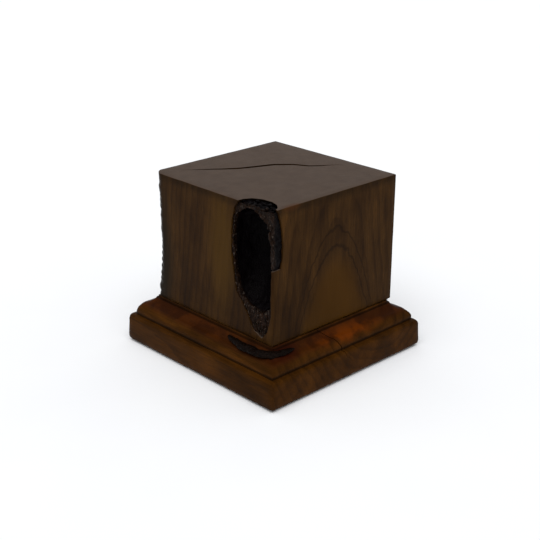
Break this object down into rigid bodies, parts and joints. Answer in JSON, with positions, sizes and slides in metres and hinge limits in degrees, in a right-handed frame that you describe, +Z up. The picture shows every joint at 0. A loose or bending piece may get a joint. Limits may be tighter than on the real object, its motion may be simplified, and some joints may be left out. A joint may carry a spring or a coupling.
{
  "type": "display plinth",
  "caption": "Small square display plinth: a hardwood block with a natural bark hollow in one corner, on a base with a moulded edge all round.",
  "frame": {"origin": "middle of the underside, on the surface that the plinth stands on", "axes": "+Z up; +X along the base's longer side; the corner with the bark hollow points to +X and -Y"},
  "size_m": [0.0772, 0.0742, 0.0648],
  "materials": {
    "block_wood": "dark walnut stain under satin varnish",
    "base_wood": "dark walnut stain under satin varnish",
    "bark": "rough bark flooded with gloss varnish",
    "dowel_wood": "plain turned beech",
    "screw_steel": "zinc plated",
    "baize": "black self-adhesive baize"
  },
  "bodies": {
    "root": {"display_block": "block_wood", "bark_lining": "bark", "moulded_base": "base_wood", "base_bark": "bark", "joint_dowels": "dowel_wood", "fixing_screws": "screw_steel", "baize_pad": "baize"}
  },
  "joints": []
}
